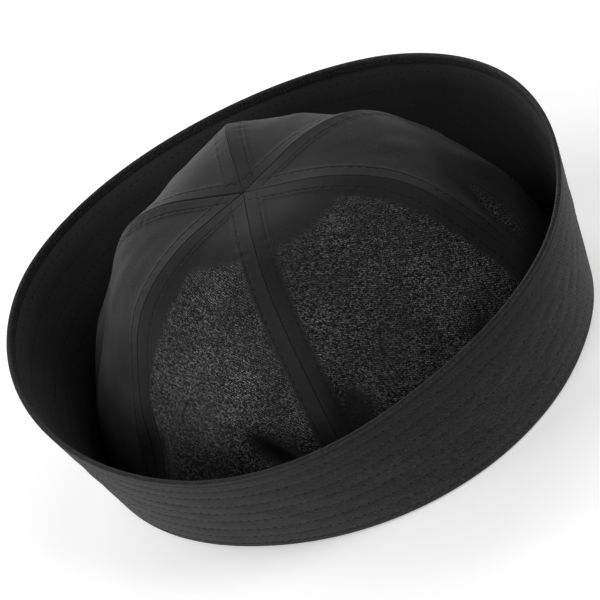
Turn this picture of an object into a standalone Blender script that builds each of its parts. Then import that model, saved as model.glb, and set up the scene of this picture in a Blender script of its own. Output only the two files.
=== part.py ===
"""Black cloth sailor cap: a crown of six gores inside a tall brim that is turned up all round.

Metres, +Z up. The cap stands on the lower fold of its brim, which lies at Z = 0. The front
of the head is towards +X, and the middle of the head opening is on the Z axis.
"""

import math

import bmesh
import bpy

# Sizes of the head opening and of the brim, over the outside of the cloth.
HEAD_LENGTH = 0.2015     # lower fold, front to back
HEAD_WIDTH = 0.1815      # lower fold, side to side
HEAD_POWER = 2.1         # squareness of that oval, where 2 is an ellipse
RIM_LENGTH = 0.226       # upper edge, front to back
RIM_WIDTH = 0.215        # upper edge, side to side
RIM_POWER = 1.9
BRIM_HEIGHT = 0.0597     # mean height of the rim above the fold
HEM_HEIGHT = 0.009       # outer cloth turned up inside the head opening
LIP_DEPTH = 0.0022       # outer cloth carried down inside the rim
FOLD_RADIUS = 0.0012     # middle of the cloth, at both corners of the lower fold

# Sizes of the crown.
CROWN_HEIGHT = 0.0910    # highest ring of the dome above the lower fold
SEAM_BAND = 0.0056       # pressed-open seam allowance, on each side of a seam
SEAM_RISE = 0.0006       # how far that allowance lifts the cloth
APEX_RADIUS = 0.0014     # where the tips of the gores end
SEAM_GAP = 0.0007        # between two gores

# Cloth, and the room left between two plies that lie on each other.
BRIM_CLOTH = 0.0010
CROWN_CLOTH = 0.0010
PLY_GAP = 0.0003

# The rim rises and falls once, or twice, round the cap.
# Columns: waves round the cap, cosine and sine height as shares of BRIM_HEIGHT.
RIM_WAVES = (
    (1, 0.021, 0.055),
    (2, 0.053, 0.045),
)

# Sides where the soft rim has sunk.
# Columns: direction and half width in degrees, depth as a share of BRIM_HEIGHT.
RIM_DIPS = (
    (3.0, 52.0, 0.067),
    (290.0, 42.0, 0.025),
)

# Meridian of the crown, from its apex to its foot inside the brim.
# Columns: share of the crown's radius at its foot, share of CROWN_HEIGHT.
CROWN_PROFILE = (
    (0.000, 0.981),
    (0.150, 0.992),
    (0.310, 1.000),
    (0.440, 0.985),
    (0.550, 0.952),
    (0.635, 0.905),
    (0.710, 0.830),
    (0.775, 0.725),
    (0.835, 0.610),
    (0.885, 0.500),
    (0.925, 0.390),
    (0.955, 0.280),
    (0.977, 0.170),
    (0.992, 0.075),
)

# Six gores, each from its own seam to the next one, turning from +X towards +Y.
# Columns: name, direction of its first seam in degrees, sag between the seams as a share of CROWN_HEIGHT.
GORES = (
    ("crown_panel_1", 5.0, 0.024),
    ("crown_panel_2", 60.0, 0.044),
    ("crown_panel_3", 122.0, 0.056),
    ("crown_panel_4", 188.0, 0.024),
    ("crown_panel_5", 243.0, 0.020),
    ("crown_panel_6", 300.0, 0.022),
)

# Dents and bulges in the soft wall of the crown. A bulge has a depth below zero.
# Columns: direction and half width in degrees, middle and half height as shares of CROWN_HEIGHT,
# lean in degrees over the whole height, depth as a share of CROWN_HEIGHT.
DENTS = (
    (284.0, 8.0, 0.36, 0.21, -50.0, 0.060),
    (271.0, 9.0, 0.42, 0.26, 0.0, -0.020),
    (293.0, 6.0, 0.42, 0.22, 0.0, -0.018),
    (307.0, 8.0, 0.42, 0.27, 10.0, 0.048),
    (324.0, 12.0, 0.44, 0.26, 0.0, -0.020),
    (343.0, 7.0, 0.38, 0.18, 20.0, 0.038),
    (16.0, 9.0, 0.54, 0.30, 20.0, 0.036),
    (37.0, 12.0, 0.52, 0.30, 0.0, -0.020),
    (78.0, 10.0, 0.42, 0.26, -15.0, 0.030),
    (148.0, 12.0, 0.44, 0.28, 15.0, 0.030),
    (205.0, 9.0, 0.50, 0.30, -10.0, 0.026),
    (246.0, 9.0, 0.40, 0.24, 10.0, 0.030),
)

# Sides where the crown stands steeper and narrower than its foot.
# Columns: direction and half width in degrees, middle and half length as shares of the way from apex
# to foot, share of the radius that is drawn in.
DRAWN_SIDES = (
    (204.0, 58.0, 0.46, 0.46, 0.072),
    (174.0, 46.0, 0.43, 0.28, 0.110),
    (140.0, 40.0, 0.38, 0.26, 0.050),
    (68.0, 32.0, 0.36, 0.26, 0.055),
    (26.0, 28.0, 0.50, 0.30, 0.038),
)

# Stations across a gore, from a seam inwards, then its mirror image.
# Columns: distance as a share of SEAM_BAND, its limit as a share of the gore's width, share of SEAM_RISE.
BAND_STATIONS = (
    (0.00, 0.00, 0.2),
    (0.35, 0.10, 1.0),
    (0.82, 0.22, 1.0),
    (1.18, 0.32, 0.0),
)
MIDDLE_STATIONS = 8

AROUND = 64              # steps round the brim
GORE_ROWS = 14           # steps from the apex to the foot
WALL_STEPS = 4           # steps up the brim's outer wall
FOLD_STEPS = 3           # steps round each corner of the lower fold
ROLL_STEPS = 4           # steps over the rolled rim

BLACK_TWILL = (0.019, 0.019, 0.021, 1.0)
BLACK_DRILL = (0.023, 0.023, 0.025, 1.0)

# Insets of the middle of each ply from the outside of the brim, at the fold.
OUTER_INSET = BRIM_CLOTH / 2
FACING_INSET = BRIM_CLOTH * 1.5 + PLY_GAP
CROWN_INSET = BRIM_CLOTH * 2 + PLY_GAP * 2 + CROWN_CLOTH / 2
HEM_INSET = BRIM_CLOTH * 2.5 + PLY_GAP * 3 + CROWN_CLOTH
LIP_INSET = BRIM_CLOTH * 2.5 + PLY_GAP * 2

# Where the facing and the crown stand in the fold, and how far the roll reaches above the facing.
FOOT_HEIGHT = BRIM_CLOTH / 2 + FOLD_RADIUS
ROLL_RADIUS = (LIP_INSET - OUTER_INSET) / 2
ROLL_REACH = ROLL_RADIUS + BRIM_CLOTH / 2


def oval_point(length, width, power, turn, inset=0.0):
    """Point of an oval at a turn from 0 to 1, moved inwards by an inset."""
    angle = 2 * math.pi * turn
    c, s = math.cos(angle), math.sin(angle)
    x = length / 2 * math.copysign(abs(c) ** (2 / power), c)
    y = width / 2 * math.copysign(abs(s) ** (2 / power), s)
    nx = math.copysign(abs(2 * x / length) ** (power - 1), c) / length
    ny = math.copysign(abs(2 * y / width) ** (power - 1), s) / width
    size = math.hypot(nx, ny)
    return x - inset * nx / size, y - inset * ny / size


def rim_height(turn):
    """Height of the rim above the lower fold at a turn from 0 to 1."""
    height = BRIM_HEIGHT
    for waves, cosine, sine in RIM_WAVES:
        angle = 2 * math.pi * turn * waves
        height += BRIM_HEIGHT * (cosine * math.cos(angle) + sine * math.sin(angle))
    for direction, half_width, share in RIM_DIPS:
        away = (360 * turn - direction + 180) % 360 - 180
        height -= BRIM_HEIGHT * share * window(away, half_width)
    return height


def wall_point(turn, inset, height):
    """Point in the leaning wall of the brim, at an inset from its outside."""
    low = oval_point(HEAD_LENGTH, HEAD_WIDTH, HEAD_POWER, turn, inset)
    high = oval_point(RIM_LENGTH, RIM_WIDTH, RIM_POWER, turn, inset)
    share = height / rim_height(turn)
    return (low[0] + (high[0] - low[0]) * share, low[1] + (high[1] - low[1]) * share, height)


def curve_through(rows, share):
    """Smooth curve through the rows of a table, at a share of its length from 0 to 1."""
    lengths = [0.0]
    for a, b in zip(rows, rows[1:]):
        lengths.append(lengths[-1] + math.dist(a, b))
    here = min(max(share, 0.0), 1.0) * lengths[-1]
    k = next(i for i in range(1, len(rows)) if here <= lengths[i] or i == len(rows) - 1)
    step = lengths[k] - lengths[k - 1]
    t = (here - lengths[k - 1]) / step

    def slope(i):
        a, b = max(i - 1, 0), min(i + 1, len(rows) - 1)
        return [(q - p) / (lengths[b] - lengths[a]) * step for p, q in zip(rows[a], rows[b])]

    first, last = slope(k - 1), slope(k)
    return tuple(
        (2 * t**3 - 3 * t**2 + 1) * rows[k - 1][i] + (t**3 - 2 * t**2 + t) * first[i]
        + (3 * t**2 - 2 * t**3) * rows[k][i] + (t**3 - t**2) * last[i]
        for i in range(len(rows[0])))


def crown_meridian(share):
    """Radius share and height of the crown at a share of the way from apex to foot."""
    rows = CROWN_PROFILE + ((1.0, FOOT_HEIGHT / CROWN_HEIGHT),)
    radius, height = curve_through(rows, share)
    return radius, height * CROWN_HEIGHT


def crown_lean(height):
    """Radius share of the crown's lower wall at a height."""
    low, high = 0.6, 1.0
    for _ in range(30):
        middle = (low + high) / 2
        if crown_meridian(middle)[1] > height:
            low = middle
        else:
            high = middle
    return crown_meridian(high)[0]


def foot_radius(direction):
    """Radius of the crown at its foot, in a direction in radians."""
    a, b = HEAD_LENGTH / 2 - CROWN_INSET, HEAD_WIDTH / 2 - CROWN_INSET
    c, s = abs(math.cos(direction)) / a, abs(math.sin(direction)) / b
    return (c ** HEAD_POWER + s ** HEAD_POWER) ** (-1 / HEAD_POWER)


def window(distance, half):
    """Soft bump: 1 in the middle and 0 from its half width outwards."""
    return math.cos(math.pi / 2 * distance / half) ** 2 if abs(distance) < half else 0.0


def dent_depth(direction, height):
    """How far the crown's wall is pushed in, in a direction in degrees and at a height."""
    depth = 0.0
    level = height / CROWN_HEIGHT
    for middle, half_width, centre, half_height, lean, share in DENTS:
        away = (direction - middle - lean * (level - centre) + 180) % 360 - 180
        depth += share * CROWN_HEIGHT * window(away, half_width) * window(level - centre, half_height)
    return depth


def drawn_share(direction, share):
    """Share of the radius that is drawn in, in a direction in degrees and at a share downwards."""
    total = 0.0
    for middle, half_width, centre, half_length, drawn in DRAWN_SIDES:
        away = (direction - middle + 180) % 360 - 180
        total += drawn * window(away, half_width) * window(share - centre, half_length) ** 0.5
    return total


def gore_stations(width):
    """Distance from the first seam and lift of the cloth, at each station across a gore."""
    limit = SEAM_GAP / 2
    side = [(limit + min(step * SEAM_BAND, share * width), rise * SEAM_RISE)
            for step, share, rise in BAND_STATIONS]
    inner = side[-1][0]
    middle = [(inner + (width - 2 * inner) * (i + 1) / (MIDDLE_STATIONS + 1), 0.0)
              for i in range(MIDDLE_STATIONS)]
    return side + middle + [(width - distance, rise) for distance, rise in reversed(side)]


def crown_point(first, last, sag, station, share):
    """Point of a gore between two seam directions in degrees, at a station and a share downwards."""
    middle = math.radians((first + last) / 2)
    tip = APEX_RADIUS / foot_radius(middle)
    meridian_share = share + (1 - share) * tip * 0.6
    radius_share, height = crown_meridian(meridian_share)
    before = crown_meridian(max(meridian_share - 0.01, 0.0))
    after = crown_meridian(min(meridian_share + 0.01, 1.0))
    run = (after[0] - before[0]) * foot_radius(middle)
    drop = before[1] - after[1]
    out, up = drop / math.hypot(run, drop), run / math.hypot(run, drop)

    span = math.radians(last - first)
    width = span * radius_share * foot_radius(middle)
    distance, rise = gore_stations(width)[station]
    direction = math.radians(first) + span * distance / width
    across = distance / width
    slack = 1 - abs(2 * across - 1) ** 2.4
    level = min(max((meridian_share - 0.06) / 0.80, 0.0), 1.0)
    inward = sag * CROWN_HEIGHT * slack * math.sin(math.pi * level) ** 1.5
    inward += dent_depth(math.degrees(direction), height) - rise * (1 - share ** 8)
    drawn = 1 - drawn_share(math.degrees(direction), meridian_share)
    radius = radius_share * foot_radius(direction) * drawn - inward * out
    return (radius * math.cos(direction), radius * math.sin(direction), height - inward * up)


def brim_path():
    """Middle of the outer ply, from the top of its hem to the end of its lip.

    Each step holds a name of the reference, an inset and a height above the fold or the rim.
    """
    low = BRIM_CLOTH / 2
    path = [("hem", HEM_INSET, HEM_HEIGHT)]
    for i in range(FOLD_STEPS + 1):
        angle = math.pi / 2 * i / FOLD_STEPS
        path.append(("hem", HEM_INSET - FOLD_RADIUS * (1 - math.cos(angle)),
                     low + FOLD_RADIUS * (1 - math.sin(angle))))
    for i in range(FOLD_STEPS + 1):
        angle = math.pi / 2 * i / FOLD_STEPS
        path.append(("wall", OUTER_INSET + FOLD_RADIUS * (1 - math.sin(angle)),
                     low + FOLD_RADIUS * (1 - math.cos(angle))))
    for i in range(1, WALL_STEPS):
        path.append(("share", OUTER_INSET, i / WALL_STEPS))
    for i in range(ROLL_STEPS + 1):
        angle = math.pi * i / ROLL_STEPS
        path.append(("rim", OUTER_INSET + ROLL_RADIUS * (1 - math.cos(angle)),
                     -ROLL_REACH + ROLL_RADIUS * math.sin(angle)))
    path.append(("rim", LIP_INSET, -ROLL_REACH - LIP_DEPTH))
    return path


def brim_point(step, turn):
    """Point of the outer ply for one step of its path, at a turn from 0 to 1."""
    reference, inset, height = step
    if reference == "hem":
        x, y = oval_point(HEAD_LENGTH, HEAD_WIDTH, HEAD_POWER, turn, inset)
        lean = crown_lean(height) if height > FOOT_HEIGHT else 1.0
        return (x * lean, y * lean, height)
    top = rim_height(turn)
    if reference == "share":
        return wall_point(turn, inset, FOOT_HEIGHT + (top - ROLL_REACH - FOOT_HEIGHT) * height)
    return wall_point(turn, inset, height if reference == "wall" else top + height)


def facing_point(share, turn):
    """Point of the inner ply, at a share of its height and a turn from 0 to 1."""
    top = rim_height(turn) - ROLL_REACH
    return wall_point(turn, FACING_INSET, FOOT_HEIGHT + (top - FOOT_HEIGHT) * share)


def cloth_material(name, color, roughness):
    material = bpy.data.materials.new(name)
    material.use_nodes = True
    shader = material.node_tree.nodes["Principled BSDF"]
    shader.inputs["Base Color"].default_value = color
    shader.inputs["Roughness"].default_value = roughness
    shader.inputs["Metallic"].default_value = 0.0
    return material


def cloth_piece(name, columns, rows, place, cloth, material, collection, parent, even):
    """A sheet of cloth: a grid whose points are placed by a rule, then given its thickness."""
    grid = bmesh.new()
    bmesh.ops.create_grid(grid, x_segments=columns, y_segments=rows, size=1.0)
    for vert in grid.verts:
        column = round((vert.co.x + 1) / 2 * columns)
        row = round((vert.co.y + 1) / 2 * rows)
        vert.co = place(column, row)
    bmesh.ops.remove_doubles(grid, verts=grid.verts, dist=1e-6)
    mesh = bpy.data.meshes.new(name)
    grid.to_mesh(mesh)
    grid.free()
    mesh.materials.append(material)
    mesh.shade_smooth()

    piece = bpy.data.objects.new(name, mesh)
    collection.objects.link(piece)
    piece.parent = parent
    shell = piece.modifiers.new("cloth", "SOLIDIFY")
    shell.thickness = cloth
    shell.offset = 0.0
    shell.use_even_offset = even
    return piece


def main():
    for old in list(bpy.data.objects):
        bpy.data.objects.remove(old, do_unlink=True)

    collection = bpy.data.collections.new("sailor_cap")
    bpy.context.scene.collection.children.link(collection)
    cap = bpy.data.objects.new("cap", None)
    collection.objects.link(cap)

    twill = cloth_material("crown_twill", BLACK_TWILL, 0.82)
    drill = cloth_material("brim_drill", BLACK_DRILL, 0.86)
    facing = cloth_material("facing_drill", BLACK_TWILL, 0.88)

    path = brim_path()
    cloth_piece("brim_outer", AROUND, len(path) - 1,
                lambda column, row: brim_point(path[row], column / AROUND),
                BRIM_CLOTH, drill, collection, cap, True)
    cloth_piece("brim_facing", AROUND, WALL_STEPS,
                lambda column, row: facing_point(row / WALL_STEPS, column / AROUND),
                BRIM_CLOTH, facing, collection, cap, True)

    columns = 2 * len(BAND_STATIONS) + MIDDLE_STATIONS - 1
    starts = [first for _, first, _ in GORES]
    ends = starts[1:] + [starts[0] + 360]
    for (name, first, sag), last in zip(GORES, ends):
        cloth_piece(name, columns, GORE_ROWS,
                    lambda column, row, first=first, last=last, sag=sag:
                    crown_point(first, last, sag, column, row / GORE_ROWS),
                    CROWN_CLOTH, twill, collection, cap, False)


main()
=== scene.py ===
"""Black cotton sailor cap: a crown of six gores inside a tall brim that is turned up all round.

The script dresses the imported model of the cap. Each ply of cloth is made again with its seams,
pressed-open allowances, stitch rows and soft ripples, the thread is modelled dash by dash, and
the cap stands on a pale floor in soft studio light. Metres, +Z up.
"""

from __future__ import annotations

import logging
import math
from dataclasses import dataclass, field
from enum import Enum

import bpy
import numpy as np
from mathutils import Matrix, Vector


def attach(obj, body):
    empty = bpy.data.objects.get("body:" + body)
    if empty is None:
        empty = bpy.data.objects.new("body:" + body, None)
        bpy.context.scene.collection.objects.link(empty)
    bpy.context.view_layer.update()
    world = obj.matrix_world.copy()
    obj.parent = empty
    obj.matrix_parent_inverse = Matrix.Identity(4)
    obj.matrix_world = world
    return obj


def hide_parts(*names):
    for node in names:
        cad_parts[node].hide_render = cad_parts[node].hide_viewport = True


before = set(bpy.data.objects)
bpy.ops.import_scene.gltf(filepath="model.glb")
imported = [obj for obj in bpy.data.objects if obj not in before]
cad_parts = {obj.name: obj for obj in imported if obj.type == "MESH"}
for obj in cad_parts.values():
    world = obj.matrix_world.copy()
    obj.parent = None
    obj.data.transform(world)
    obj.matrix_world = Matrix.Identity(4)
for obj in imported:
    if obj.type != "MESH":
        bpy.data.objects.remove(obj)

LOG = logging.getLogger("sailor_cap")
BODY = "root"
CLOTH_MAP = "cloth"
MM = 0.001
# Distance from band to band in Blender's wave texture at scale 1.
BAND_STEP = math.pi / 10


class Side(Enum):
    """Side of a ply that a thread or a relief lies on."""

    OUTSIDE = 1
    INSIDE = -1


class Weave(Enum):
    """How the yarns of a cloth cross: the angle of its rib to the grain, in degrees."""

    TWILL = 49.0
    DRILL = 35.0


def window(distance: np.ndarray, half: float) -> np.ndarray:
    """Soft bump.

    Args:
        distance: Distance from the middle of the bump.
        half: Distance at which the bump ends, in the same unit.

    Returns:
        1 in the middle, falling to 0 at the half width and beyond.
    """
    inside = np.abs(distance) < half
    return np.where(inside, np.cos(math.pi / 2 * distance / half) ** 2, 0.0)


def ease(value: np.ndarray, low: float, high: float) -> np.ndarray:
    """Smooth step.

    Args:
        value: Values to be graded.
        low: Value at which the step starts.
        high: Value at which the step ends.

    Returns:
        0 below the low value, 1 above the high one, and a smooth rise between them.
    """
    t = np.clip((value - low) / (high - low), 0.0, 1.0)
    return t * t * (3 - 2 * t)


def around(degrees: np.ndarray) -> np.ndarray:
    """Angles in degrees brought into the half turn on each side of zero."""
    return (degrees + 180) % 360 - 180


def curve_through(rows: np.ndarray, share: np.ndarray) -> np.ndarray:
    """Smooth curve through the rows of a table.

    Args:
        rows: Points that the curve passes through, one a row.
        share: Places along the curve, from 0 to 1.

    Returns:
        The points of the curve, with their coordinates on the last axis.
    """
    steps = np.linalg.norm(np.diff(rows, axis=0), axis=1)
    lengths = np.concatenate([[0.0], np.cumsum(steps)])
    here = np.clip(share, 0.0, 1.0) * lengths[-1]
    k = np.clip(np.searchsorted(lengths, here), 1, len(rows) - 1)
    index = np.arange(len(rows))
    before = np.maximum(index - 1, 0)
    after = np.minimum(index + 1, len(rows) - 1)
    slopes = (rows[after] - rows[before]) / (lengths[after] - lengths[before])[:, None]
    step = (lengths[k] - lengths[k - 1])[..., None]
    t = (here - lengths[k - 1])[..., None] / step
    first, last = slopes[k - 1] * step, slopes[k] * step
    return ((2 * t**3 - 3 * t**2 + 1) * rows[k - 1] + (t**3 - 2 * t**2 + t) * first
            + (3 * t**2 - 2 * t**3) * rows[k] + (t**3 - t**2) * last)


def unit(vectors: np.ndarray) -> np.ndarray:
    """Vectors on the last axis, brought to length 1."""
    return vectors / np.maximum(np.linalg.norm(vectors, axis=-1, keepdims=True), 1e-12)


def grid_normals(points: np.ndarray, round_about: bool) -> np.ndarray:
    """Normals of a grid of points.

    Args:
        points: Grid of points, rows by columns.
        round_about: Whether the last column meets the first.

    Returns:
        Unit vectors along the cross product of the row direction and the column direction.
    """
    down = np.gradient(points, axis=0)
    if round_about:
        across = np.roll(points, -1, axis=1) - np.roll(points, 1, axis=1)
    else:
        across = np.gradient(points, axis=1)
    return unit(np.cross(down, across))


def grid_lengths(points: np.ndarray, axis: int) -> np.ndarray:
    """Length along the rows or columns of a grid.

    Args:
        points: Grid of points, rows by columns.
        axis: 0 to measure from row to row, 1 to measure from column to column.

    Returns:
        The length from the start of the grid to each of its points.
    """
    steps = np.linalg.norm(np.diff(points, axis=axis), axis=-1)
    start = np.zeros_like(np.take(steps, [0], axis=axis))
    return np.concatenate([start, np.cumsum(steps, axis=axis)], axis=axis)


def put(name: str, data: bpy.types.ID) -> bpy.types.Object:
    """New object in the scene, which carries the data."""
    piece = bpy.data.objects.new(name, data)
    bpy.context.scene.collection.objects.link(piece)
    return piece


def map_cloth(mesh: bpy.types.Mesh, places: np.ndarray) -> None:
    """Store the place on the cloth, in metres, of each corner of a mesh."""
    layer = mesh.uv_layers.new(name=CLOTH_MAP)
    layer.data.foreach_set("uv", places.reshape(-1).astype(np.float32))


@dataclass
class ClothShell:
    """Closed shell of cloth between two grids of points.

    The outer grid faces along the cross product of its row and column directions.
    """

    name: str
    outer: np.ndarray
    inner: np.ndarray
    round_about: bool
    marks: dict[str, np.ndarray] = field(default_factory=dict)
    sharp_degrees: float = 75.0

    def faces(self) -> np.ndarray:
        """Corners of all quads, each as grid number, row and column."""
        rows, columns = self.outer.shape[:2]
        last = columns if self.round_about else columns - 1
        r, c = (a.ravel() for a in np.meshgrid(np.arange(rows - 1), np.arange(last), indexing="ij"))

        def quad(*corners: tuple[int, np.ndarray, np.ndarray]) -> np.ndarray:
            """Quads from four corners, each a grid number, rows and columns."""
            return np.stack([np.stack(np.broadcast_arrays(*corner), -1) for corner in corners], 1)

        faces = [quad((0, r, c), (0, r + 1, c), (0, r + 1, c + 1), (0, r, c + 1)),
                 quad((1, r, c), (1, r, c + 1), (1, r + 1, c + 1), (1, r + 1, c))]
        c = np.arange(last)
        end = rows - 1
        faces += [quad((0, 0 * c, c), (0, 0 * c, c + 1), (1, 0 * c, c + 1), (1, 0 * c, c)),
                  quad((0, end + 0 * c, c), (1, end + 0 * c, c),
                       (1, end + 0 * c, c + 1), (0, end + 0 * c, c + 1))]
        if not self.round_about:
            r = np.arange(rows - 1)
            end = columns - 1
            faces += [quad((0, r, 0 * r), (1, r, 0 * r), (1, r + 1, 0 * r), (0, r + 1, 0 * r)),
                      quad((0, r, end + 0 * r), (0, r + 1, end + 0 * r),
                           (1, r + 1, end + 0 * r), (1, r, end + 0 * r))]
        return np.concatenate(faces)

    def cloth_map(self) -> np.ndarray:
        """Places on the cloth in metres, across and along, for each point of the outer grid."""
        points = self.outer
        if self.round_about:
            points = np.concatenate([points, points[:, :1]], axis=1)
        across = grid_lengths(points, 1)
        middle = across[:, across.shape[1] // 2][:, None]
        if not self.round_about:
            across = across - middle
        along = grid_lengths(points, 0)
        return np.stack([across, along], -1)

    def build(self) -> bpy.types.Object:
        """Mesh object of the shell, with its cloth map and its marks.

        Returns:
            The new object, linked to the scene.
        """
        rows, columns = self.outer.shape[:2]
        corners = self.faces()
        vertex = corners[..., 0] * rows * columns + corners[..., 1] * columns + corners[..., 2] % columns
        points = np.concatenate([self.outer.reshape(-1, 3), self.inner.reshape(-1, 3)])
        mesh = bpy.data.meshes.new(self.name)
        mesh.from_pydata(points.tolist(), [], vertex.tolist())
        map_cloth(mesh, self.cloth_map()[corners[..., 1], corners[..., 2]])
        for mark, values in self.marks.items():
            attribute = mesh.attributes.new(mark, "FLOAT", "POINT")
            attribute.data.foreach_set("value", np.tile(values.reshape(-1), 2).astype(np.float32))
        mesh.shade_smooth()
        mesh.set_sharp_from_angle(angle=math.radians(self.sharp_degrees))
        mesh.validate()
        return put(self.name, mesh)


@dataclass
class ThreadRow:
    """One row of stitches: a path on the cloth and the way out of the cloth along it."""

    points: np.ndarray
    outward: np.ndarray
    start: float = 0.0


@dataclass(frozen=True)
class Stitching:
    """Lockstitch of a cap: each stitch is a short dash of thread that dives into the cloth."""

    length: float = 3.3 * MM
    gap: float = 1.0 * MM
    thread: float = 0.17 * MM
    lift: float = 0.05 * MM
    dive: float = 0.16 * MM
    rings: int = 5
    sides: int = 5
    bow_power: float = 0.7
    flatness: float = 0.85
    # Share of the thread's radius at the ends of a dash, and how much more it has in the middle.
    thickness: tuple[float, float] = (0.62, 0.38)

    def dashes(self, row: ThreadRow) -> np.ndarray:
        """Rings of points round each dash of one row.

        Args:
            row: The row to be sewn.

        Returns:
            Points by dash, ring and side.
        """
        run = grid_lengths(row.points[:, None], 0)[:, 0]
        count = int((run[-1] - row.start) / self.length)
        starts = row.start + np.arange(max(count, 0)) * self.length + self.gap / 2
        share = np.linspace(0.0, 1.0, self.rings)
        where = starts[:, None] + share * (self.length - self.gap)
        centre = np.stack([np.interp(where, run, row.points[:, i]) for i in range(3)], -1)
        outward = unit(np.stack([np.interp(where, run, row.outward[:, i]) for i in range(3)], -1))
        along = unit(np.gradient(centre, axis=1))
        aside = unit(np.cross(along, outward))
        bow = np.sin(math.pi * share) ** self.bow_power
        height = self.lift * bow - self.dive * (1 - bow)
        at_ends, more = self.thickness
        thick = self.thread * (at_ends + more * bow)[:, None, None]
        angle = 2 * math.pi * (np.arange(self.sides) + 0.5) / self.sides
        rings = (centre + outward * height[:, None])[:, :, None]
        rings = rings + outward[:, :, None] * (np.cos(angle)[:, None] * thick * self.flatness)
        return rings + aside[:, :, None] * (np.sin(angle)[:, None] * thick)

    def sew(self, name: str, rows: list[ThreadRow]) -> bpy.types.Object:
        """Joined mesh of all dashes of several rows.

        Args:
            name: Name of the new piece.
            rows: The rows to be sewn.

        Returns:
            The new object, linked to the scene.
        """
        rings = np.concatenate([self.dashes(row) for row in rows])
        count, n, m = rings.shape[:3]
        r, s = (a.ravel() for a in np.meshgrid(np.arange(n - 1), np.arange(m), indexing="ij"))
        following = (s + 1) % m
        side = np.stack([r * m + s, r * m + following, (r + 1) * m + following, (r + 1) * m + s], 1)
        first = np.arange(count) * n * m
        quads = (first[:, None, None] + side).reshape(-1, 4)
        caps = np.stack([np.arange(m)[::-1], (n - 1) * m + np.arange(m)])
        ends = (first[:, None, None] + caps).reshape(-1, m)
        mesh = bpy.data.meshes.new(name)
        mesh.from_pydata(rings.reshape(-1, 3).tolist(), [], quads.tolist() + ends.tolist())
        mesh.shade_smooth()
        corner = np.zeros(len(mesh.loops), np.int32)
        mesh.loops.foreach_get("vertex_index", corner)
        ring = corner // m % n
        map_cloth(mesh, np.stack([ring / (n - 1) * self.length, corner % m * self.thread], 1))
        return put(name, mesh)


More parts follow.
